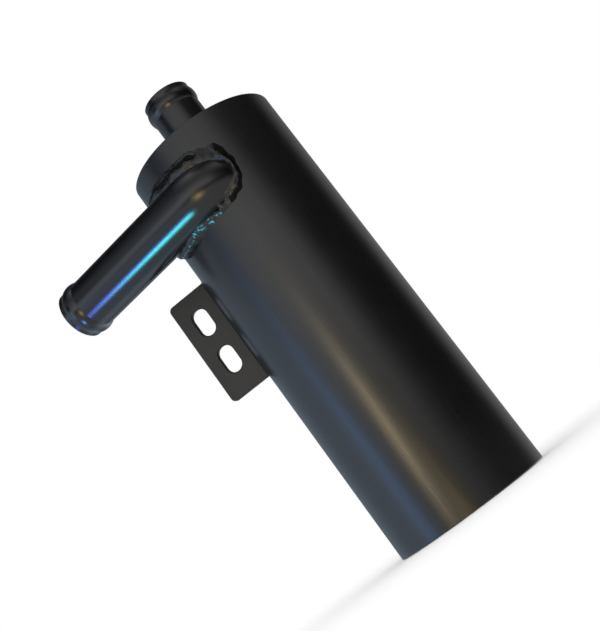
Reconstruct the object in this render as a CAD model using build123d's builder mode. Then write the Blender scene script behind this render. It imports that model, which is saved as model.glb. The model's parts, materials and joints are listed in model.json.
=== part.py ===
from build123d import *
from math import cos, radians, sin, sqrt
import os

# Welded aluminium oil catch can. The origin is the centre of the base, +Z runs up the can's axis,
# and the mounting bracket stands out along -X.

# Body tube
tube_radius = 38.1
tube_wall = 3.0
tube_length = 208.7
edge_break = 0.25

# End plates, set flush into the tube over a V-shaped weld groove
plate_thickness = 4.0
slip_fit = 0.1
groove_depth = 2.0
crown_height = 1.0

# Hose tails: plain tube with one rolled bead behind the nose
tail_wall = 2.0
nose_length = 2.6
bead_length = 7.4
bead_height = 1.0
nose_break = 0.5

# Outlet tail on the top plate
outlet_radius = 12.2
outlet_height = 32.0
outlet_inside = 6.0
outlet_weld_leg = 4.0
outlet_weld_crown = 0.5

# Inlet tail: a straight leg beside the can, then a bend that dives through the wall
inlet_radius = 12.6
inlet_drop = 29.4
inlet_proud = 10.4
inlet_angle = 14.1
inlet_reach = 87.1
bend_radius = 15.0
bend_turn = 90.0
elbow_wall_gap = 11.8
inlet_weld_leg = 4.2
inlet_weld_spread = 0.9
inlet_weld_rise = 0.6
inlet_weld_pinch = 0.5
inlet_weld_crown = 0.9
inlet_weld_sink = 1.0
inlet_weld_stations = 40

# Mounting bracket: a flat fin with two slots for M6 screws
bracket_thickness = 3.0
bracket_length = 55.0
bracket_reach = 22.2
bracket_drop = 51.4
bracket_corner = 2.5
bracket_edge = 0.6
slot_width = 8.0
slot_length = 14.0
slot_pitch = 21.5
slot_reach = 11.2
slot_drop = 26.4
bracket_weld_radius = 1.5

# Perforated baffle below the inlet, held by tack welds
baffle_thickness = 2.0
baffle_drop = 30.0
baffle_hole = 9.0
baffle_hole_ring = 20.0
baffle_holes = 8
tack_count = 3
tack_leg = 2.5
tack_angle = 16.0

# Drain in the middle of the base: welded boss, sealing washer and hexagon-socket plug
boss_radius = 14.0
boss_height = 15.0
boss_flange = 3.0
boss_flange_thickness = 2.0
drain_bore = 7.0
thread_fit = 0.05
plug_head_radius = 11.0
plug_head_height = 3.2
plug_recess = 0.8
plug_chamfer = 0.6
plug_key = 6.0
plug_key_depth = 5.0
washer_thickness = 1.5
washer_fit = 0.3

# Sizes that follow from the ones above
inner_radius = tube_radius - tube_wall
plate_radius = inner_radius - slip_fit
inlet_height = tube_length - inlet_drop
inlet_offset = tube_radius + inlet_proud - inlet_radius
bend_start = bend_radius - (inner_radius - inlet_radius - elbow_wall_gap)
baffle_height = inlet_height - baffle_drop
slot_radius = tube_radius + slot_reach
bracket_top = tube_length - bracket_drop
bracket_height = bracket_top - bracket_length / 2
slot_height = bracket_top - slot_drop
head_top = plug_recess + plug_head_height
seat_height = head_top + washer_thickness
counterbore_radius = plug_head_radius + washer_fit
flange_top = plate_thickness + boss_flange_thickness

# Level plane of the inlet: x runs along the leg towards the bend, y out from the can's axis
leg_direction = Vector(cos(radians(inlet_angle)), -sin(radians(inlet_angle)), 0)
outward = Vector(-sin(radians(inlet_angle)), -cos(radians(inlet_angle)), 0)
inlet_plane = Plane(
    origin=(0, 0, inlet_height), x_dir=leg_direction, z_dir=leg_direction.cross(outward)
)

with BuildLine(inlet_plane) as inlet_line:
    leg = Line((-inlet_reach, inlet_offset), (-bend_start, inlet_offset))
    bend = JernArc(start=leg @ 1, tangent=leg % 1, radius=bend_radius, arc_size=-bend_turn)
inlet_path = inlet_line.wires()[0]
leg_length = inlet_reach - bend_start


# A round bar along the whole inlet, from its nose to the end of the bend
def inlet_bar(radius):
    with BuildPart() as bar:
        with BuildSketch(Plane(origin=inlet_path @ 0, z_dir=inlet_path % 0)):
            Circle(radius)
        sweep(path=inlet_path)
    return bar.part


# Half section of a hose tail: radius along x, length along y, with the nose at the far end.
# The bead is rolled, so the bore swells with the outside.
def tail_section(radius, length):
    bore = radius - tail_wall
    bead_end = length - nose_length
    bead_start = bead_end - bead_length
    bead_middle = (bead_start + bead_end) / 2
    with BuildSketch() as section:
        with BuildLine():
            Line((bore, 0), (radius, 0))
            Line((radius, 0), (radius, bead_start))
            ThreePointArc((radius, bead_start), (radius + bead_height, bead_middle), (radius, bead_end))
            Line((radius, bead_end), (radius, length - nose_break))
            Line((radius, length - nose_break), (radius - nose_break, length))
            Line((radius - nose_break, length), (bore, length))
            Line((bore, length), (bore, bead_end))
            ThreePointArc((bore, bead_end), (bore + bead_height, bead_middle), (bore, bead_start))
            Line((bore, bead_start), (bore, 0))
        make_face()
    return section.sketch


# Solid can and solid fin, used to cut seats and to grow the weld fillets
def can_bar():
    with BuildPart() as bar:
        Cylinder(tube_radius, tube_length, align=(Align.CENTER, Align.CENTER, Align.MIN))
    return bar.part


def bracket_blank():
    with BuildPart() as blank:
        with BuildSketch(Plane.XZ):
            with Locations((-(tube_radius + bracket_reach), bracket_height)):
                Rectangle(
                    bracket_reach + tube_wall, bracket_length, align=(Align.MIN, Align.CENTER)
                )
            fillet(vertices().group_by(Axis.X)[0], bracket_corner)
            with Locations((-slot_radius, slot_height)):
                with GridLocations(0, slot_pitch, 1, 2):
                    SlotOverall(slot_length, slot_width, rotation=90, mode=Mode.SUBTRACT)
        extrude(amount=bracket_thickness / 2, both=True)
    return blank.part


# Body tube: cut through by the inlet and chamfered inside each end for the plate welds
with BuildPart() as body_tube:
    with BuildSketch():
        Circle(tube_radius)
        Circle(inner_radius, mode=Mode.SUBTRACT)
    extrude(amount=tube_length)
    rims = body_tube.edges().filter_by(GeomType.CIRCLE).sort_by(SortBy.RADIUS)
    chamfer(rims[:2], groove_depth)
    chamfer(rims[2:], edge_break)
    add(inlet_bar(inlet_radius + slip_fit), mode=Mode.SUBTRACT)
body_tube.part.label = "body_tube"

# Top plate, bored for the outlet tail
with BuildPart() as top_plate:
    with BuildSketch(Plane.XY.offset(tube_length)):
        Circle(plate_radius)
        Circle(outlet_radius + slip_fit, mode=Mode.SUBTRACT)
    extrude(amount=-plate_thickness)
    chamfer(top_plate.faces().sort_by(Axis.Z)[-1].outer_wire().edges(), groove_depth)
top_plate.part.label = "top_plate"

# Base plate, bored for the drain boss
with BuildPart() as base_plate:
    with BuildSketch():
        Circle(plate_radius)
        Circle(boss_radius + slip_fit, mode=Mode.SUBTRACT)
    extrude(amount=plate_thickness)
    chamfer(base_plate.faces().sort_by(Axis.Z)[0].outer_wire().edges(), groove_depth)
base_plate.part.label = "base_plate"

# Groove weld round the top plate, left with its crown
with BuildPart() as top_plate_weld:
    with BuildSketch(Plane.XZ):
        with BuildLine():
            inner_toe = (plate_radius - groove_depth, tube_length)
            outer_toe = (inner_radius + groove_depth, tube_length)
            root = tube_length - groove_depth
            Polyline(outer_toe, (inner_radius, root), (plate_radius, root), inner_toe)
            ThreePointArc(
                inner_toe, ((plate_radius + inner_radius) / 2, tube_length + crown_height), outer_toe
            )
        make_face()
    revolve(axis=Axis.Z)
top_plate_weld.part.label = "top_plate_weld"

# Groove weld round the base plate, ground flush so that the can stands flat
with BuildPart() as base_plate_weld:
    with BuildSketch(Plane.XZ):
        with BuildLine():
            Polyline(
                (plate_radius - groove_depth, 0),
                (inner_radius + groove_depth, 0),
                (inner_radius, groove_depth),
                (plate_radius, groove_depth),
                close=True,
            )
        make_face()
    revolve(axis=Axis.Z)
base_plate_weld.part.label = "base_plate_weld"

# Outlet tail, passing through the top plate
with BuildPart() as top_spigot:
    spigot_foot = tube_length - plate_thickness - outlet_inside
    with BuildSketch(Plane.XZ.shift_origin((0, 0, spigot_foot))):
        add(tail_section(outlet_radius, tube_length + outlet_height - spigot_foot))
    revolve(axis=Axis.Z)
top_spigot.part.label = "top_spigot"

# Fillet weld round the outlet tail
with BuildPart() as top_spigot_weld:
    with BuildSketch(Plane.XZ):
        with BuildLine():
            plate_toe = (outlet_radius + outlet_weld_leg, tube_length)
            tail_toe = (outlet_radius, tube_length + outlet_weld_leg)
            crown = outlet_weld_leg / 2 + outlet_weld_crown / sqrt(2)
            Polyline(tail_toe, (outlet_radius, tube_length), plate_toe)
            ThreePointArc(plate_toe, (outlet_radius + crown, tube_length + crown), tail_toe)
        make_face()
    revolve(axis=Axis.Z)
top_spigot_weld.part.label = "top_spigot_weld"

# Inlet tail: beaded leg and bend, coped to the inside of the body tube
with BuildPart() as side_spigot:
    leg_foot = leg @ 1
    up = Vector(0, 0, 1)
    with BuildSketch(Plane(origin=leg_foot, x_dir=up, z_dir=up.cross(leg_direction * -1))):
        add(tail_section(inlet_radius, leg_length))
    revolve(axis=Axis(leg_foot, leg_direction * -1))
    with BuildSketch(Plane(origin=leg_foot, z_dir=leg_direction)):
        Circle(inlet_radius)
        Circle(inlet_radius - tail_wall, mode=Mode.SUBTRACT)
    sweep(path=bend)
    Cylinder(
        inner_radius,
        tube_length,
        align=(Align.CENTER, Align.CENTER, Align.MIN),
        mode=Mode.SUBTRACT,
    )
side_spigot.part.label = "side_spigot"

# Weld bead along the saddle where the inlet meets the can. At each station of the seam a section
# stands square to it, with one toe on the can, one on the inlet and a crown between them. Where the
# two surfaces run nearly flush, the bead spreads over the can and draws in on the inlet. It is also
# wider on the can above the inlet than below it.
with BuildPart() as joint:
    add(can_bar())
    add(inlet_bar(inlet_radius))
    saddle = Wire(joint.edges(Select.NEW))


def bead_section(station):
    share = (station / inlet_weld_stations) % 1
    seam = saddle @ share
    along = saddle % share
    can_normal = Vector(seam.X, seam.Y, 0).normalized()
    inlet_normal = (seam - inlet_path.closest_points(seam)[0]).normalized()
    over_can = along.cross(can_normal).normalized()
    over_can = over_can * (1 if over_can.dot(inlet_normal) > 0 else -1)
    over_inlet = along.cross(inlet_normal).normalized()
    over_inlet = over_inlet * (1 if over_inlet.dot(can_normal) > 0 else -1)
    middle = (can_normal + inlet_normal).normalized()
    flush = 1 - over_can.cross(over_inlet).length
    can_leg = inlet_weld_leg * (1 + inlet_weld_spread * flush + inlet_weld_rise * max(over_can.Z, 0))
    inlet_leg = inlet_weld_leg * (1 - inlet_weld_pinch * flush)
    can_toe = over_can * can_leg - can_normal * inlet_weld_sink
    inlet_toe = over_inlet * inlet_leg - inlet_normal * inlet_weld_sink
    crown = (can_toe + inlet_toe) / 2 + middle * (inlet_weld_crown + inlet_weld_sink)
    root = middle * (-2 * inlet_weld_sink)
    plane = Plane(origin=seam, x_dir=over_can, z_dir=along)
    corners = [plane.to_local_coords(seam + corner) for corner in (can_toe, crown, inlet_toe, root)]
    with BuildSketch(plane) as section:
        with BuildLine():
            ThreePointArc(corners[0], corners[1], corners[2])
            Polyline(corners[2], corners[3], corners[0])
        make_face()
    return section.sketch


with BuildPart() as side_spigot_weld:
    half = inlet_weld_stations // 2
    for first in (0, half):
        loft([bead_section(first + step) for step in range(half + 1)], ruled=True)
    add(can_bar(), mode=Mode.SUBTRACT)
    add(inlet_bar(inlet_radius), mode=Mode.SUBTRACT)
side_spigot_weld.part.label = "side_spigot_weld"

# Mounting bracket, its root coped to the can
with BuildPart() as bracket:
    add(bracket_blank())
    chamfer(bracket.faces().filter_by(Axis.Y).edges(), bracket_edge)
    add(can_bar(), mode=Mode.SUBTRACT)
bracket.part.label = "bracket"

# Weld that runs all round the bracket's root
with BuildPart() as bracket_weld:
    add(can_bar())
    add(bracket_blank())
    root_edges = bracket_weld.edges(Select.NEW)
    fillet(root_edges, bracket_weld_radius)
    add(can_bar(), mode=Mode.SUBTRACT)
    add(bracket_blank(), mode=Mode.SUBTRACT)
bracket_weld.part.label = "bracket_weld"

# Baffle: a disc with one hole in its middle and a ring of holes about it
with BuildPart() as baffle_plate:
    with BuildSketch(Plane.XY.offset(baffle_height)):
        Circle(plate_radius)
        Circle(baffle_hole / 2, mode=Mode.SUBTRACT)
        with PolarLocations(baffle_hole_ring, baffle_holes):
            Circle(baffle_hole / 2, mode=Mode.SUBTRACT)
    extrude(amount=-baffle_thickness)
baffle_plate.part.label = "baffle_plate"

# Tack welds in the corner between the baffle and the wall
with BuildPart() as baffle_tacks:
    for tack in range(tack_count):
        with BuildSketch(Plane.XZ.rotated((0, 0, tack * 360 / tack_count))):
            with BuildLine():
                Polyline(
                    (inner_radius, baffle_height),
                    (inner_radius, baffle_height + tack_leg),
                    (inner_radius - tack_leg, baffle_height),
                    close=True,
                )
            make_face()
        revolve(axis=Axis.Z, revolution_arc=tack_angle)
baffle_tacks.part.label = "baffle_tacks"

# Drain boss: turned, flanged over the inside of the base plate and counterbored for the plug
with BuildPart() as drain_boss:
    with BuildSketch(Plane.XZ):
        with BuildLine():
            Polyline(
                (counterbore_radius, 0),
                (boss_radius, 0),
                (boss_radius, plate_thickness),
                (boss_radius + boss_flange, plate_thickness),
                (boss_radius + boss_flange, flange_top),
                (boss_radius, flange_top),
                (boss_radius, boss_height),
                (drain_bore, boss_height),
                (drain_bore, seat_height),
                (counterbore_radius, seat_height),
                close=True,
            )
        make_face()
    revolve(axis=Axis.Z)
drain_boss.part.label = "drain_boss"

# Fillet weld round the boss's flange
with BuildPart() as drain_boss_weld:
    with BuildSketch(Plane.XZ):
        with BuildLine():
            flange_edge = boss_radius + boss_flange
            Polyline(
                (flange_edge, plate_thickness),
                (flange_edge + boss_flange_thickness, plate_thickness),
                (flange_edge, flange_top),
                close=True,
            )
        make_face()
    revolve(axis=Axis.Z)
drain_boss_weld.part.label = "drain_boss_weld"

# Sealing washer between the plug's head and the boss
with BuildPart() as drain_washer:
    with BuildSketch(Plane.XY.offset(head_top)):
        Circle(plug_head_radius)
        Circle(drain_bore + washer_fit, mode=Mode.SUBTRACT)
    extrude(amount=washer_thickness)
drain_washer.part.label = "drain_washer"

# Drain plug: flanged head, plain shank at the thread's size, hexagon socket from below
with BuildPart() as drain_plug:
    with BuildSketch(Plane.XY.offset(plug_recess)):
        Circle(plug_head_radius)
    extrude(amount=plug_head_height)
    chamfer(drain_plug.faces().sort_by(Axis.Z)[0].edges(), plug_chamfer)
    with BuildSketch(Plane.XY.offset(head_top)):
        Circle(drain_bore - thread_fit)
    extrude(amount=boss_height - head_top)
    chamfer(drain_plug.faces().sort_by(Axis.Z)[-1].edges(), plug_chamfer)
    with BuildSketch(Plane.XY.offset(plug_recess)):
        RegularPolygon(plug_key / 2, 6, major_radius=False)
    extrude(amount=plug_key_depth, mode=Mode.SUBTRACT)
drain_plug.part.label = "drain_plug"

os.makedirs("parts", exist_ok=True)
for piece in (
    body_tube,
    top_plate,
    base_plate,
    top_plate_weld,
    base_plate_weld,
    top_spigot,
    top_spigot_weld,
    side_spigot,
    side_spigot_weld,
    bracket,
    bracket_weld,
    baffle_plate,
    baffle_tacks,
    drain_boss,
    drain_boss_weld,
    drain_washer,
    drain_plug,
):
    export_step(piece.part, f"parts/{piece.part.label}.step")
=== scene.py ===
import json
import math

import bpy
import numpy as np
from mathutils import Matrix, Vector


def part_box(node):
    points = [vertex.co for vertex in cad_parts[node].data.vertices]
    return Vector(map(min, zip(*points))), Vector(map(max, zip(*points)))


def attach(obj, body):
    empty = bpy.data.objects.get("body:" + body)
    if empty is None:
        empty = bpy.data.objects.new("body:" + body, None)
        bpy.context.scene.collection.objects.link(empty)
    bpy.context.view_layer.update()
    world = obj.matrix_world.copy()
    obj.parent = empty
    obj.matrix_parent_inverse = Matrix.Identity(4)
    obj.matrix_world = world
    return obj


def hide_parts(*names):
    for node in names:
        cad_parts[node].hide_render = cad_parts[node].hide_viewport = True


# Oil catch can: black anodised tube with welded tails and a fin bracket, in the CAD frame.
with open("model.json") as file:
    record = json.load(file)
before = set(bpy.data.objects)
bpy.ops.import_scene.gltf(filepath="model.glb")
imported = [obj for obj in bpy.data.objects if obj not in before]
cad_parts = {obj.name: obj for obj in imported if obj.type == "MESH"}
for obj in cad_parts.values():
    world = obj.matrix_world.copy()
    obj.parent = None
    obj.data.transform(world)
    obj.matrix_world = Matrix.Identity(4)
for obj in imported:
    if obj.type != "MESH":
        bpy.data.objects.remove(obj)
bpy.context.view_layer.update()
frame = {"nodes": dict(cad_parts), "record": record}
nodes = frame["nodes"]
mounts = {mount["name"]: mount for mount in frame["record"]["mounts"]}
mm = 0.001  # the frame is in metres, the sizes below are in millimetres
print("frame loaded with", len(nodes), "nodes")


def nodeBox(name):  # both corners of a CAD node, in millimetres
    return [np.array(corner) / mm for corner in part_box(name)]


def linearColour(hexText):  # sRGB hex to linear RGBA
    channels = [int(hexText[i : i + 2], 16) / 255 for i in (1, 3, 5)]
    return tuple(c / 12.92 if c <= 0.04045 else ((c + 0.055) / 1.055) ** 2.4 for c in channels) + (1.0,)


def addNode(tree, kind, settings=None, values=None, links=None):
    node = tree.nodes.new(kind)
    for name, value in (settings or {}).items():
        setattr(node, name, value)
    for socket, value in (values or {}).items():
        node.inputs[socket].default_value = value
    for socket, source in (links or {}).items():
        tree.links.new(source, node.inputs[socket])
    return node


def newTree(name):  # an empty material and its node tree
    material = bpy.data.materials.new(name)
    material.use_nodes = True
    material.node_tree.nodes.clear()
    return material, material.node_tree


# How both noise patterns of a finish are read: their octaves, and the band that most values lie in
pattern = {"cloudDetail": 3.0, "grainDetail": 2.0, "band": (0.3, 0.7)}


# One finish: dye that clouds a little, and a grain that varies the gloss and tilts the light, but moves no
# surface. Grains are drawn coarser than they really are, so that they show.
def surfaceFinish(finish):
    material, tree = newTree(finish["name"])
    place = addNode(tree, "ShaderNodeTexCoord").outputs["Object"]
    cloud = addNode(
        tree,
        "ShaderNodeTexNoise",
        values={"Scale": 1 / (finish["cloudSize"] * mm), "Detail": pattern["cloudDetail"]},
        links={"Vector": place},
    )
    dye = addNode(tree, "ShaderNodeValToRGB", links={"Fac": cloud.outputs[0]})
    for stop, edge, colour in zip(dye.color_ramp.elements, pattern["band"], finish["colours"]):
        stop.position = edge
        stop.color = linearColour(colour)
    drawn = addNode(
        tree, "ShaderNodeMapping", values={"Scale": finish["grainStretch"]}, links={"Vector": place}
    )
    grain = addNode(
        tree,
        "ShaderNodeTexNoise",
        values={"Scale": 1 / (finish["grainSize"] * mm), "Detail": pattern["grainDetail"]},
        links={"Vector": drawn.outputs[0]},
    )
    gloss = addNode(
        tree,
        "ShaderNodeMapRange",
        values={
            "From Min": pattern["band"][0],
            "From Max": pattern["band"][1],
            "To Min": finish["roughness"][0],
            "To Max": finish["roughness"][1],
        },
        links={"Value": grain.outputs[0]},
    )
    tilt = addNode(
        tree,
        "ShaderNodeBump",
        values={"Strength": 1.0, "Distance": finish["grainDepth"] * mm},
        links={"Height": grain.outputs[0]},
    )
    shader = addNode(
        tree,
        "ShaderNodeBsdfPrincipled",
        values={"Metallic": finish["metallic"], "IOR": finish["ior"]},
        links={
            "Base Color": dye.outputs[0],
            "Roughness": gloss.outputs[0],
            "Normal": tilt.outputs[0],
        },
    )
    addNode(tree, "ShaderNodeOutputMaterial", links={"Surface": shader.outputs[0]})
    return material


# Dyed oxide over aluminium: the dye takes the metal's own colour away, so what is left is a clear
# film's gloss over near black. Bare metal keeps its colour. Grain is even unless a finish says more.
dyedOxide = {"metallic": 0.0, "ior": 1.6, "grainStretch": (1.0, 1.0, 1.0)}
bareMetal = {"metallic": 1.0, "ior": 1.5, "grainStretch": (1.0, 1.0, 1.0)}
# Tube: it keeps the faint lines of its drawing die, along its length.
satinTube = {
    **dyedOxide,
    "name": "satin black anodised drawn tube",
    "colours": ("#0d0d0e", "#111112"),
    "cloudSize": 22.0,
    "roughness": (0.27, 0.31),
    "grainSize": 0.9,
    "grainStretch": (1.0, 1.0, 0.03),
    "grainDepth": 0.002,
}
# Turned discs and boss: the same dye, a little duller, with a fine even grain.
satinPlate = {
    **dyedOxide,
    "name": "satin black anodised plate",
    "colours": ("#0d0d0e", "#121213"),
    "cloudSize": 14.0,
    "roughness": (0.34, 0.42),
    "grainSize": 0.7,
    "grainDepth": 0.003,
}
# Tails were polished before dyeing, so lights stay narrow on them.
polishedTail = {
    **dyedOxide,
    "name": "polished black anodised tail",
    "colours": ("#0b0b0d", "#0f0f11"),
    "cloudSize": 12.0,
    "roughness": (0.21, 0.24),
    "grainSize": 1.2,
    "grainDepth": 0.0004,
}
# Sheet with its mill skin etched off: flat charcoal, no clear highlight.
matteSheet = {
    **dyedOxide,
    "name": "matte black anodised sheet",
    "colours": ("#1c1c1a", "#222220"),
    "cloudSize": 9.0,
    "roughness": (0.52, 0.6),
    "grainSize": 0.5,
    "grainDepth": 0.006,
}
# Weld metal is coarser than the tube, so the dye sits darker and the gloss is patchy.
weldMetal = {
    **dyedOxide,
    "name": "black anodised weld metal",
    "colours": ("#08080a", "#101012"),
    "cloudSize": 5.0,
    "roughness": (0.24, 0.36),
    "grainSize": 0.8,
    "grainDepth": 0.006,
}
# Painted shade on the weld: dead black and hardly any gloss, put where the bead lies in shade, in its deep
# furrow and on its can side over part of the run.
paintedShadeWeld = {
    **dyedOxide,
    "name": "weld metal with painted shade",
    "colours": ("#050505", "#090808"),
    "cloudSize": 2.0,
    "roughness": (0.55, 0.7),
    "ior": 1.25,
    "grainSize": 0.5,
    "grainDepth": 0.02,
}
# Soft crush washer, left bare: pale grey metal with small scuffs.
bareWasher = {
    **bareMetal,
    "name": "bare soft aluminium",
    "colours": ("#b4b5b8", "#c6c7c9"),
    "cloudSize": 4.0,
    "roughness": (0.35, 0.5),
    "grainSize": 0.4,
    "grainDepth": 0.004,
}
# Plug: steel blacked in hot oxide, oily dark grey.
blackedPlug = {
    **bareMetal,
    "name": "black oxide steel",
    "colours": ("#1b1b1c", "#262627"),
    "cloudSize": 3.0,
    "roughness": (0.32, 0.45),
    "grainSize": 0.4,
    "grainDepth": 0.004,
}
finishOf = {
    "body_tube": satinTube,
    "top_plate": satinPlate,
    "base_plate": satinPlate,
    "drain_boss": satinPlate,
    "top_spigot": polishedTail,
    "side_spigot": polishedTail,
    "bracket": matteSheet,
    "baffle_plate": matteSheet,
    "base_plate_weld": weldMetal,
    "drain_boss_weld": weldMetal,
    "baffle_tacks": weldMetal,
    "drain_washer": bareWasher,
    "drain_plug": blackedPlug,
}
materials = {}
for finish in list(finishOf.values()) + [weldMetal, paintedShadeWeld]:
    if finish["name"] not in materials:
        materials[finish["name"]] = surfaceFinish(finish)
for nodeName, finish in finishOf.items():
    nodes[nodeName].data.materials.clear()
    nodes[nodeName].data.materials.append(materials[finish["name"]])
print("finishes on", len(finishOf), "CAD nodes")


# Grid of points that closes on itself both ways, as a ring of weld does. Faces are turned outwards by the
# sign of the enclosed volume, and those marked for painted shade get the near-black painted-shade finish.
def closedBead(name, points, replacedNode, paintedShade=None):
    rows, columns = points.shape[:2]
    index = np.arange(rows * columns).reshape(rows, columns)
    ahead = np.roll(index, -1, 0)
    quads = np.stack([index, ahead, np.roll(ahead, -1, 1), np.roll(index, -1, 1)], -1).reshape(-1, 4)
    flat = points.reshape(-1, 3) * mm
    a, b, c, d = (flat[quads[:, corner]] for corner in range(4))
    volume = (a * np.cross(b, c)).sum() + (a * np.cross(c, d)).sum()
    if volume < 0:
        quads = quads[:, ::-1]
    mesh = bpy.data.meshes.new(name)
    mesh.from_pydata(flat.tolist(), [], quads.tolist())
    mesh.polygons.foreach_set("use_smooth", np.ones(len(quads), bool))
    mesh.materials.append(materials[weldMetal["name"]])
    if paintedShade is not None:
        mesh.materials.append(materials[paintedShadeWeld["name"]])
        mesh.polygons.foreach_set("material_index", paintedShade.astype(np.int32).ravel())
    piece = bpy.data.objects.new(name, mesh)
    bpy.context.scene.collection.objects.link(piece)
    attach(piece, "root")
    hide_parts(replacedNode)


# Sum of a few sine waves round the loop, so the ends meet; about -1 to 1.
def wander(share, waves, seed):
    phases = np.random.default_rng(seed).uniform(0, 2 * np.pi, len(waves))
    return np.sin(2 * np.pi * np.outer(share, waves) + phases).sum(1) / math.sqrt(len(waves))


# Scallops of a hand-fed bead, 0 to 1: a sine without its sign along the bead, bowed across it, which gives
# round crests with sharp valleys. A power below 1 fills the crests out.
scallopPower = 0.8


def scallops(distance, across, pitch, bow):
    return np.abs(np.sin(np.pi * (distance / pitch + bow * (2 * across - 1) ** 2))) ** scallopPower


def unit(vectors):
    return vectors / np.linalg.norm(vectors, axis=-1, keepdims=True)


# Inlet weld
tail = {"wall": 2.0, "bendRadius": 15.0}  # the wall is that of both tails
inletWeld = {
    "leg": 4.2,  # reach over each surface where they meet square
    "spread": 0.9,  # extra reach over the can where they run flush
    "rise": 0.6,  # extra reach over the can above the inlet
    "pinch": 0.5,  # less reach over the inlet where they run flush
    "crown": 1.7,
    "archPower": 1.8,
    "toeFlare": 0.08,  # share of the width in which the toe washes out onto the can
    "sink": 0.4,
    "ripplePitch": 1.15,
    "pitchWander": 0.4,
    "rippleHeight": 0.46,
    "rippleMean": 0.6,  # level in the scallops that adds no height
    "bow": 0.35,
    "canToeWander": 0.4,
    "inletToeWander": 0.2,
    "lump": 0.3,
    "knot": 0.2,
    # hand-fed bead: pairs of an angle and a value, in degrees from the inlet's outer side over its top
    "toeShift": (
        *((0, -4.2), (20, -3.0), (30, -0.3), (40, 1.2), (50, -0.4), (60, 0.2), (88, -0.3), (140, 0.0)),
        *((260, 0.0), (280, -1.6), (300, -1.2), (320, -1.8), (340, -3.1), (350, -4.3), (360, -4.2)),
    ),
    "crownShare": (
        *((0, 1.0), (28, 1.2), (38, 1.0), (46, 0.25), (53, 0.0), (60, 0.4), (68, 0.9), (88, 1.0), (165, 0.8)),
        *((200, 0.6), (268, 0.55), (281, -0.25), (299, -0.25), (312, 0.5), (340, 1.0), (360, 1.0)),
    ),
    "crownPlace": (
        *((0, 0.84), (32, 0.84), (44, 0.66), (60, 0.58), (140, 0.56)),
        *((325, 0.58), (345, 0.74), (360, 0.84)),
    ),
    "inletShare": ((0, 1.0), (40, 0.9), (50, 0.65), (60, 0.7), (75, 1.0), (360, 1.0)),
    "rippleShare": (
        *((0, 0.05), (75, 0.05), (90, 0.3), (165, 0.6), (200, 1.0), (258, 1.0), (268, 0.4), (278, 0.0)),
        *((325, 0.0), (360, 0.05)),
    ),
    "knotShare": (
        *((0, 0.1), (55, 0.0), (75, 0.4), (140, 0.3), (235, 0.0), (258, 0.5), (268, 0.5), (278, 0.04)),
        *((305, 0.04), (360, 0.1)),
    ),
    "furrowShare": (
        *((0, 0.0), (58, 0.0), (67, 0.95), (92, 1.0), (130, 0.4), (165, 0.0)),
        *((276, 0.0), (284, 0.5), (297, 0.5), (306, 0.2), (316, 0.0), (360, 0.0)),
    ),
    "furrowPlace": (
        *((0, 0.3), (58, 0.36), (67, 0.46), (88, 0.55), (140, 0.5)),
        *((280, 0.62), (300, 0.62), (360, 0.3)),
    ),
    "furrowDepth": 2.6,
    "furrowMean": 0.75,
    "furrowWander": 0.3,
    "furrowStray": 0.04,  # sideways, as a share of the bead's width
    "furrowWidth": 0.18,  # share of the bead's width
    # painted shade: the share of the bead's width, from the can's toe, that is painted near black where that
    # side lies in shade
    "paintedShadeShare": (
        *((0, 0.74), (30, 0.7), (38, 0.55), (43, 0.0)),
        *((299, 0.0), (304, 0.5), (325, 0.45), (345, 0.55), (360, 0.74)),
    ),
    "paintedShadeWander": 0.1,
    "paintedShadeFurrow": 0.7,  # painted shade goes where the furrow is deeper than this
    # waves round the bead and the seed of their phases, for what wanders along it
    "waves": {
        "canToe": ((7, 13, 22, 31), 3),
        "inletToe": ((6, 11, 17, 24), 8),
        "pitch": ((17, 29, 44), 5),
        "canLumps": ((5, 9, 14, 23), 11),
        "inletLumps": ((6, 11, 19, 27), 12),
        "canKnots": ((38, 47, 61, 74), 41),
        "inletKnots": ((35, 52, 66, 79), 42),
        "furrowDepth": ((9, 16, 25, 37), 31),
        "furrowLine": ((8, 14, 21), 32),
        "paintedShadeEdge": ((15, 26, 43, 58), 51),
    },
    "seamSteps": 9001,  # points that the seam's length is measured with
    "stations": 1500,
    "across": 44,
}
canLow, canHigh = nodeBox("body_tube")
canRadius = (canHigh[0] - canLow[0]) / 2
inletMount = mounts["side_hose_tail"]
inletRadius = inletMount["dims"]["r_mm"] + tail["wall"]
inletMiddle = np.array(inletMount["pos_m"]) / mm
legWay = -np.array(inletMount["axis"])  # from the nose towards the bend
levelMiddle = inletMiddle * (1, 1, 0)
outWay = unit(levelMiddle - (levelMiddle @ legWay) * legWay)
inletOffset = levelMiddle @ outWay
bendStart = -(levelMiddle @ legWay + inletMount["dims"]["length_mm"] / 2)
bendCentre = np.array([-bendStart, inletOffset - tail["bendRadius"]])


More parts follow.
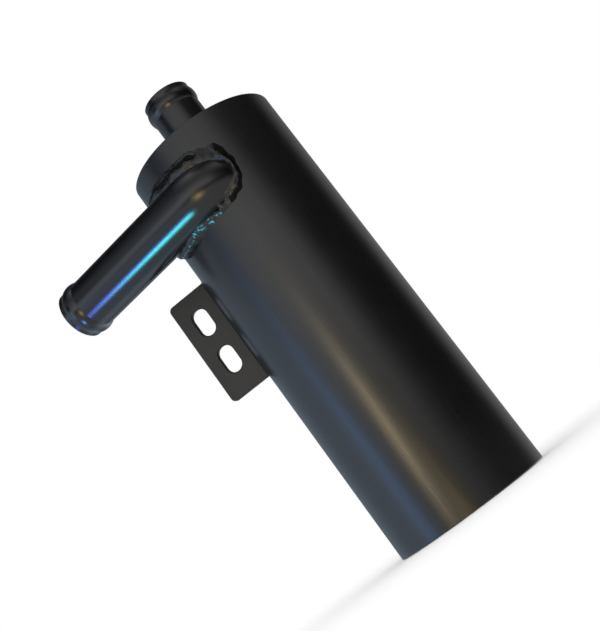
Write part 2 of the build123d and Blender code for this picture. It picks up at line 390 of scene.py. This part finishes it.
# Seam of inlet and can in the inlet's level plane: along the leg, out from the can's axis, up. On the
# leg the inlet is a cylinder, so the seam lies where its side is as far out as the can's radius. On the
# bend it is a torus, and the turn follows from the cosine rule in the triangle of bend centre, can axis
# and seam point.
def inletSeam(angle):
    side = inletRadius * np.cos(angle)
    out = inletOffset + side
    along = -np.sqrt(np.maximum(canRadius**2 - out**2, 0))
    onLeg = (out < canRadius) & (along <= -bendStart)
    reach = tail["bendRadius"] + side
    centreGap = np.hypot(*bendCentre)
    cosine = (canRadius**2 - centreGap**2 - reach**2) / (2 * reach * centreGap)
    turn = np.arctan2(*bendCentre) + np.arccos(np.clip(cosine, -1, 1))
    turn = np.where(onLeg, 0, turn)
    along = np.where(onLeg, along, bendCentre[0] + reach * np.sin(turn))
    out = np.where(onLeg, out, bendCentre[1] + reach * np.cos(turn))
    seam = np.stack([along, out, inletRadius * np.sin(angle)], -1)
    normal = np.stack([np.cos(angle) * np.sin(turn), np.cos(angle) * np.cos(turn), np.sin(angle)], -1)
    return seam, normal


def ontoCan(points, radius):  # level distance from the axis set to the radius
    level = np.hypot(points[..., 0], points[..., 1])[..., None]
    return np.concatenate([points[..., :2] * radius / level, points[..., 2:]], -1)


def ontoInlet(points, radius):  # distance from the inlet's centre line set to the radius
    along, out = points[..., 0], points[..., 1]
    turn = np.arctan2(along - bendCentre[0], out - bendCentre[1])
    onBend = along > bendCentre[0]
    centreAlong = np.where(onBend, bendCentre[0] + tail["bendRadius"] * np.sin(turn), along)
    centreOut = np.where(onBend, bendCentre[1] + tail["bendRadius"] * np.cos(turn), inletOffset)
    centre = np.stack([centreAlong, centreOut, 0 * along], -1)
    return centre + unit(points - centre) * radius


# Bead along the seam: a chord from the toe on the can to the toe on the inlet, arched and rippled along
# the line halfway between the two surface normals, and closed behind by a root line in the metal. The
# furrow taken off it is a bell curve across the bead.
def inletBead():
    fine = np.linspace(0, 2 * np.pi, inletWeld["seamSteps"])
    steps = np.linalg.norm(np.diff(inletSeam(fine)[0], axis=0), axis=1)
    run = np.concatenate([[0], np.cumsum(steps)])
    share = np.arange(inletWeld["stations"]) / inletWeld["stations"]
    angle = np.interp(share * run[-1], run, fine)
    seam, inletNormal = inletSeam(angle)
    canNormal = unit(seam * (1, 1, 0))
    cosine = (canNormal * inletNormal).sum(1, keepdims=True)
    overCan = unit(inletNormal - cosine * canNormal)
    overInlet = unit(canNormal - cosine * inletNormal)
    middle = unit(canNormal + inletNormal)
    flush = 1 - np.sqrt(1 - cosine**2)
    above = np.maximum(overCan[:, 2:], 0)

    def tableAt(name):  # a table of the weld's settings, read at each station
        return np.interp(np.degrees(angle), *zip(*inletWeld[name]))[:, None]

    def strayAt(name):  # one of the weld's sets of waves, read at each station
        return wander(share, *inletWeld["waves"][name])[:, None]

    canLeg = inletWeld["leg"] * (1 + inletWeld["spread"] * flush + inletWeld["rise"] * above)
    canLeg += tableAt("toeShift")
    canLeg += inletWeld["canToeWander"] * strayAt("canToe")
    inletLeg = inletWeld["leg"] * (1 - inletWeld["pinch"] * flush) * tableAt("inletShare")
    inletLeg += inletWeld["inletToeWander"] * strayAt("inletToe")
    canToe = ontoCan(seam + overCan * canLeg, canRadius - inletWeld["sink"])
    inletToe = ontoInlet(seam + overInlet * inletLeg, inletRadius - inletWeld["sink"])
    across = np.linspace(0, 1, inletWeld["across"])[None, :]
    distance = (share * run[-1])[:, None] + inletWeld["pitchWander"] * strayAt("pitch")
    skew = np.log(0.5) / np.log(tableAt("crownPlace"))  # brings the crown to its place across the bead
    flare = 1 - np.exp(-((across / inletWeld["toeFlare"]) ** 2))
    arch = flare * (1 - np.abs(2 * across**skew - 1) ** inletWeld["archPower"])
    lumps = strayAt("canLumps") * (1 - across) + strayAt("inletLumps") * across
    knots = strayAt("canKnots") * (1 - across) + strayAt("inletKnots") * across
    waves = scallops(distance, across, inletWeld["ripplePitch"], inletWeld["bow"]) - inletWeld["rippleMean"]
    height = inletWeld["crown"] * tableAt("crownShare") + inletWeld["sink"] + inletWeld["lump"] * lumps
    height = height + inletWeld["rippleHeight"] * tableAt("rippleShare") * waves
    height = (height + inletWeld["knot"] * tableAt("knotShare") * knots) * arch
    furrow = inletWeld["furrowMean"] + inletWeld["furrowWander"] * strayAt("furrowDepth")
    furrowLine = tableAt("furrowPlace") + inletWeld["furrowStray"] * strayAt("furrowLine")
    aside = (across - furrowLine) / inletWeld["furrowWidth"]
    cut = inletWeld["furrowDepth"] * (tableAt("furrowShare") * furrow) * np.exp(-(aside**2))
    height = height - cut
    # Painted shade: faces on the can side of the bead over part of its run, and in the deeper furrow, get the
    # near-black finish; the closing root row gets none.
    paintedShadeEdge = tableAt("paintedShadeShare") * (1 + inletWeld["paintedShadeWander"] * strayAt("paintedShadeEdge"))
    paintedShade = (across < paintedShadeEdge) | (cut > inletWeld["paintedShadeFurrow"])
    paintedShade = np.concatenate([paintedShade, np.zeros((len(share), 1), bool)], 1)
    ends = across[..., None]
    surface = canToe[:, None] * (1 - ends) + inletToe[:, None] * ends + middle[:, None] * height[..., None]
    root = seam - 2 * inletWeld["sink"] * middle  # twice as deep as the toes
    bead = np.concatenate([surface, root[:, None]], 1)
    level = bead[..., :1] * legWay + bead[..., 1:2] * outWay
    return level + (bead[..., 2:] + inletMiddle[2]) * (0, 0, 1), paintedShade


# inlet bead, with its mask of painted shade
inletPoints, inletPaintedShade = inletBead()
closedBead("inletWeldBead", inletPoints, "side_spigot_weld", inletPaintedShade)
print("inlet weld laid")

# Round welds on the top: the outlet's fillet and the crowned groove round the plate
ringWeld = {
    "archPower": 2.2,
    "rippleMean": 0.7,  # level in the scallops that adds no height
    "pitchWander": 0.3,
    "waves": ((11, 19, 28), 4),  # round the ring, and the seed of their phases
    "across": 18,
}
outletWeld = {
    **ringWeld,
    "leg": 4.0,
    "crown": 0.5,
    "sink": 0.3,
    "pitch": 1.3,
    "ripple": 0.22,
    "bow": 0.5,
    "stations": 900,
}
rimWeld = {
    **ringWeld,
    "groove": 2.0,  # half its width, and its depth
    "crown": 0.9,
    "sink": 0.25,
    "pitch": 1.5,
    "ripple": 0.2,
    "bow": 0.6,
    "stations": 1500,
}


# Ring bead about the can's axis: its section's chord runs from one toe to the other as radius and
# height, and the arch and ripples stand square to that chord.
def ringBead(firstToe, lastToe, root, weld):
    share = np.arange(weld["stations"]) / weld["stations"]
    angle = 2 * np.pi * share[:, None]
    part = np.linspace(0, 1, weld["across"])[None, :]
    chord = np.subtract(lastToe, firstToe)
    up = np.array([-chord[1], chord[0]]) / np.hypot(*chord)
    up = up if up[1] > 0 else -up
    meanRun = np.pi * (firstToe[0] + lastToe[0])
    distance = meanRun * share[:, None] + weld["pitchWander"] * wander(share, *weld["waves"])[:, None]
    arch = 1 - np.abs(2 * part - 1) ** weld["archPower"]
    waves = scallops(distance, part, weld["pitch"], weld["bow"]) - weld["rippleMean"]
    height = (weld["crown"] + weld["sink"] + weld["ripple"] * waves) * arch
    radius = firstToe[0] + chord[0] * part + up[0] * height
    level = firstToe[1] + chord[1] * part + up[1] * height
    radius = np.concatenate([radius, np.full_like(angle, root[0])], 1)
    level = np.concatenate([level, np.full_like(angle, root[1])], 1)
    return np.stack([radius * np.sin(angle), -radius * np.cos(angle), level], -1)


topHeight = canHigh[2]
outletRadius = mounts["top_hose_tail"]["dims"]["r_mm"] + tail["wall"]
outletSink = outletWeld["sink"]
outletBead = ringBead(
    (outletRadius + outletWeld["leg"], topHeight - outletSink),
    (outletRadius - outletSink, topHeight + outletWeld["leg"]),
    (outletRadius - outletSink, topHeight - outletSink),
    outletWeld,
)
closedBead("outletWeldBead", outletBead, "top_spigot_weld")
grooveLow, grooveHigh = nodeBox("top_plate_weld")
rimOuter = (grooveHigh[0] - grooveLow[0]) / 2
rimInner = rimOuter - 2 * rimWeld["groove"]
rimBead = ringBead(
    (rimInner, topHeight - rimWeld["sink"]),
    (rimOuter, topHeight - rimWeld["sink"]),
    ((rimInner + rimOuter) / 2, topHeight - rimWeld["groove"]),
    rimWeld,
)
closedBead("rimWeldBead", rimBead, "top_plate_weld")
print("top welds laid")

# Bracket weld
bracketWeld = {
    "leg": 1.4,
    "crown": 0.1,
    "sink": 0.2,
    "pitch": 1.2,
    "ripple": 0.1,
    "rippleMean": 0.6,  # level in the scallops that adds no height
    "bow": 0.5,
    "square": 14,  # power of the outline
    "outlineSteps": 20001,  # points that the outline's length is measured with
    "stations": 900,
    "neighbour": 3,  # stations to each side that give the outline's direction
    "across": 12,
}


# Bead round the fin's root: the root's outline is a superellipse with a high power, nearly a rectangle.
# The section runs from the fin's face down to the can, and the outline is laid on the can's curve.
def finBead():
    low, high = nodeBox("bracket")
    halfThick, halfLong = (high[1] - low[1]) / 2, (high[2] - low[2]) / 2
    fine = np.linspace(0, 2 * np.pi, bracketWeld["outlineSteps"])
    power = 2 / bracketWeld["square"]
    rawY = halfThick * np.sign(np.cos(fine)) * np.abs(np.cos(fine)) ** power
    rawZ = halfLong * np.sign(np.sin(fine)) * np.abs(np.sin(fine)) ** power
    run = np.concatenate([[0], np.cumsum(np.hypot(np.diff(rawY), np.diff(rawZ)))])
    share = np.arange(bracketWeld["stations"]) / bracketWeld["stations"]
    distance = share * run[-1]
    y, z = np.interp(distance, run, rawY), np.interp(distance, run, rawZ)
    step = bracketWeld["neighbour"]
    wayY, wayZ = np.roll(y, -step) - np.roll(y, step), np.roll(z, -step) - np.roll(z, step)
    outY, outZ = wayZ / np.hypot(wayY, wayZ), -wayY / np.hypot(wayY, wayZ)
    part = np.linspace(0, 1, bracketWeld["across"])[None, :]
    arch = 1 - (2 * part - 1) ** 2
    waves = scallops(distance[:, None], part, bracketWeld["pitch"], bracketWeld["bow"])
    bulge = bracketWeld["crown"] + bracketWeld["ripple"] * (waves - bracketWeld["rippleMean"])
    bulge = bulge * arch / math.sqrt(2)  # the same out from the fin and from the can
    reach = bracketWeld["leg"] + bracketWeld["sink"]
    aside = -bracketWeld["sink"] + reach * part + bulge
    above = bracketWeld["leg"] - reach * part + bulge
    deep = np.full((len(distance), 1), -bracketWeld["sink"])
    aside, above = np.concatenate([aside, deep], 1), np.concatenate([above, deep], 1)
    sideY = y[:, None] + outY[:, None] * aside
    sideZ = z[:, None] + outZ[:, None] * aside + (low[2] + high[2]) / 2
    return np.stack([-np.sqrt(canRadius**2 - sideY**2) - above, sideY, sideZ], -1)


closedBead("bracketWeldBead", finBead(), "bracket_weld")
print("bracket weld laid")

# Stage: white floor, and a tent and lamps that only show in reflections
floor = {"halfSize": 30000.0, "drop": 0.2, "colour": "#ffffff"}
floorMesh = bpy.data.meshes.new("floor")
corners = np.array([[-1, -1, 0], [1, -1, 0], [1, 1, 0], [-1, 1, 0]]) * floor["halfSize"] * mm
floorMesh.from_pydata((corners - (0, 0, floor["drop"] * mm)).tolist(), [], [(0, 1, 2, 3)])
floorPiece = bpy.data.objects.new("floor", floorMesh)
bpy.context.scene.collection.objects.link(floorPiece)
floorMaterial, floorTree = newTree("white paper floor")
paper = addNode(floorTree, "ShaderNodeBsdfDiffuse", values={"Color": linearColour(floor["colour"])})
addNode(floorTree, "ShaderNodeOutputMaterial", links={"Surface": paper.outputs[0]})
floorMesh.materials.append(floorMaterial)
floorPiece.visible_glossy = False

cardMaterial, cardTree = newTree("lit card")
glow = addNode(cardTree, "ShaderNodeAttribute", settings={"attribute_name": "glow"})
lit = addNode(
    cardTree, "ShaderNodeEmission", values={"Strength": 1.0}, links={"Color": glow.outputs["Color"]}
)
addNode(cardTree, "ShaderNodeOutputMaterial", links={"Surface": lit.outputs[0]})


# Open grid with a glow colour at each point, seen by glossy rays alone
def litCard(name, points, colours):
    rows, columns = points.shape[:2]
    index = np.arange(rows * columns).reshape(rows, columns)
    quads = np.stack([index[:-1, :-1], index[1:, :-1], index[1:, 1:], index[:-1, 1:]], -1).reshape(-1, 4)
    mesh = bpy.data.meshes.new(name)
    mesh.from_pydata((points.reshape(-1, 3) * mm).tolist(), [], quads.tolist())
    layer = mesh.attributes.new("glow", "FLOAT_COLOR", "POINT")
    rgba = np.concatenate([colours.reshape(-1, 3), np.ones((rows * columns, 1))], 1)
    layer.data.foreach_set("color", rgba.astype(np.float32).ravel())
    mesh.materials.append(cardMaterial)
    card = bpy.data.objects.new(name, mesh)
    bpy.context.scene.collection.objects.link(card)
    card.visible_camera = card.visible_diffuse = card.visible_shadow = card.visible_transmission = False


# Studio tent: a sphere round the set whose tone changes with the bearing and height. Bearings are in
# degrees from the front, to the right. A dark bench edge shows low in front, and a pale table below it.
# The left side is a little cooler.
tent = {
    "radius": 4000.0,
    "bearingSteps": 181,
    "heightSteps": 91,
    "bearings": (-180, -140, -100, -70, -40, -5, 12, 30, 43, 55, 70, 115, 126, 138, 148, 180),
    "tones": (0.4, 0.43, 0.65, 1.05, 1.2, 1.3, 1.25, 1.0, 0.5, 0.1, 0.0, 0.0, 0.08, 0.36, 0.38, 0.4),
    "heights": (-90, 14, 24, 36, 50, 65, 90),
    "heightTones": (1.0, 1.0, 0.75, 0.5, 0.3, 0.5, 0.8),
    "benchBearings": (-60, -30, 45, 70),
    "benchHeights": (-14, -6, 0, 12),
    "benchDepth": 0.85,
    "tableBearings": (-180, -150, -115, -80, -40, 20, 80, 115, 150, 180),
    "tableTones": (1.7, 1.1, 0.6, 0.75, 0.65, 0.6, 0.5, 0.8, 1.1, 1.7),
    "tableHeights": (-16, -3),
    "coolBearings": (-180, -150, -90, -50, 0, 180),
    "coolShares": (1, 1, 1, 0.5, 0, 0),
    "coolSide": (0.78, 0.95, 1.16),
}
# Dark, blue, pale and warm places on the tent, as soft round patches: bearing and height of the middle,
# their spreads, the share of the tent's own tone that is taken away, and the light that is added
patches = (
    {"at": (-65, 28), "spread": (18, 10), "depth": 1.0, "glow": (0.0, 0.0, 0.0)},
    {"at": (-63, 26), "spread": (14, 8), "depth": 1.0, "glow": (0.0, 0.0, 0.0)},
    {"at": (9, -3), "spread": (9, 12), "depth": 1.0, "glow": (0.0, 0.0, 0.0)},
    {"at": (-160, -25), "spread": (16, 24), "depth": 0.8, "glow": (0.0, 0.0, 0.0)},
    {"at": (-58, 0), "spread": (7, 13), "depth": 0.0, "glow": (0.1, 0.8, 2.2)},
    {"at": (-112, 60), "spread": (80, 20), "depth": 1.0, "glow": (0.0, 0.0, 0.0)},
    {"at": (78, 52), "spread": (32, 16), "depth": 0.0, "glow": (0.6, 0.6, 0.6)},
    {"at": (0, -14), "spread": (8, 9), "depth": 0.0, "glow": (5.4, 3.8, 1.2)},
)
bearingRow = np.linspace(-180, 180, tent["bearingSteps"])
riseRow = np.linspace(-90, 90, tent["heightSteps"])
bearing, rise = np.meshgrid(bearingRow, riseRow, indexing="ij")
turn, steep = np.radians(bearing), np.radians(rise)
tentPoints = tent["radius"] * np.stack(
    [np.sin(turn) * np.cos(steep), -np.cos(turn) * np.cos(steep), np.sin(steep)], -1
)
inAndOut = (0, 1, 1, 0)  # fades in, stays and fades out
tone = np.interp(bearing, tent["bearings"], tent["tones"])
tone = tone * np.interp(rise, tent["heights"], tent["heightTones"])
bench = tent["benchDepth"] * np.interp(bearing, tent["benchBearings"], inAndOut)
tone = tone * (1 - bench * np.interp(rise, tent["benchHeights"], inAndOut))
table = np.interp(rise, tent["tableHeights"], (1, 0))
tone = tone * (1 - table) + table * np.interp(bearing, tent["tableBearings"], tent["tableTones"])
cool = np.interp(bearing, tent["coolBearings"], tent["coolShares"])[..., None]
tentColour = tone[..., None] * (1 + cool * (np.array(tent["coolSide"]) - 1))
for patch in patches:
    aside = (bearing - patch["at"][0]) / patch["spread"][0]
    above = (rise - patch["at"][1]) / patch["spread"][1]
    share = np.exp(-(aside**2) - above**2)[..., None]
    tentColour = tentColour * (1 - patch["depth"] * share) + share * np.array(patch["glow"])
litCard("studioTent", tentPoints, tentColour)


# Lamps that show in reflections alone: an oval or a rectangle behind a grid, which keeps its beam narrow
def gridLamp(name, settings):
    light = bpy.data.lights.new(name, "AREA")
    light.shape = settings["shape"]
    light.size, light.size_y = (edge * mm for edge in settings["size"])
    light.spread = math.radians(settings["beam"])
    light.color = linearColour(settings["colour"])[:3]
    light.energy = settings["watts"]
    piece = bpy.data.objects.new(name, light)
    bpy.context.scene.collection.objects.link(piece)
    place, aim, along = (np.array(settings[field]) for field in ("place", "aim", "along"))
    back = unit(place - aim)
    along = unit(along - (along @ back) * back)
    turn = Matrix((along, np.cross(back, along), back)).transposed().to_4x4()
    piece.matrix_world = Matrix.Translation(Vector(place) * mm) @ turn
    piece.visible_camera = piece.visible_diffuse = piece.visible_transmission = False


coolLamp = {
    "shape": "ELLIPSE",
    "size": (150.0, 92.0),
    "place": (-197.3, -188.2, -87.9),
    "aim": (24.4, -22.3, 169.1),
    "along": (-0.809, 0.294, 0.508),
    "beam": 24.0,
    "colour": "#3ce8ec",
    "watts": 0.022,
}
violetLamp = dict(coolLamp, size=(230.0, 150.0), colour="#5a68ff", watts=0.04)
warmLamp = {
    "shape": "RECTANGLE",
    "size": (230.0, 46.0),
    "place": (-128.0, -445.0, 60.0),
    "aim": (-10.0, -30.0, 45.0),
    "along": (0.66, -0.15, 0.74),
    "beam": 26.0,
    "colour": "#ffe4b0",
    "watts": 0.0078,
}
gridLamp("coolLamp", coolLamp)
gridLamp("violetLamp", violetLamp)
gridLamp("warmLamp", warmLamp)

# Soft key lamp and a plain white world
key = {"place": (-350.0, -600.0, 900.0), "aim": (0.0, 0.0, 100.0), "size": 600.0, "watts": 1.2}
lamp = bpy.data.lights.new("softKey", "AREA")
lamp.size = key["size"] * mm
lamp.energy = key["watts"]
lampPiece = bpy.data.objects.new("softKey", lamp)
lampPiece.location = Vector(key["place"]) * mm
lampPiece.rotation_euler = (Vector(key["aim"]) - Vector(key["place"])).to_track_quat("-Z", "Y").to_euler()
lampPiece.visible_camera = False
lampPiece.visible_glossy = False
bpy.context.scene.collection.objects.link(lampPiece)
world = bpy.data.worlds.new("white studio")
world.use_nodes = True
worldTree = world.node_tree
worldTree.nodes.clear()
sky = addNode(
    worldTree, "ShaderNodeBackground", values={"Color": (1.0, 1.0, 1.0, 1.0), "Strength": 1.0}
)
addNode(worldTree, "ShaderNodeOutputWorld", links={"Surface": sky.outputs[0]})
bpy.context.scene.world = world
bpy.context.scene.view_settings.view_transform = "Standard"
print("stage and lights set")

# Camera: low in front, looking a little up, and rolled so that the can lies across the picture
shot = {
    "place": (73.2, -475.1, 19.73),
    "aim": (-10.25, -1.81, 115.3),
    "roll": 36.57,
    "lens": 60.69,
    "sensor": 36.0,
    "nearest": 10.0,
}
cameraData = bpy.data.cameras.new("productCamera")
cameraData.lens = shot["lens"]
cameraData.sensor_width = shot["sensor"]
cameraData.clip_start = shot["nearest"] * mm
camera = bpy.data.objects.new("productCamera", cameraData)
bpy.context.scene.collection.objects.link(camera)
forward = (Vector(shot["aim"]) - Vector(shot["place"])).normalized()
levelRight = forward.cross(Vector((0, 0, 1))).normalized()
levelUp = levelRight.cross(forward)
roll = math.radians(shot["roll"])
right = levelRight * math.cos(roll) - levelUp * math.sin(roll)
up = right.cross(forward)
turned = Matrix((right, up, -forward)).transposed().to_4x4()
camera.matrix_world = Matrix.Translation(Vector(shot["place"]) * mm) @ turned
bpy.context.scene.camera = camera
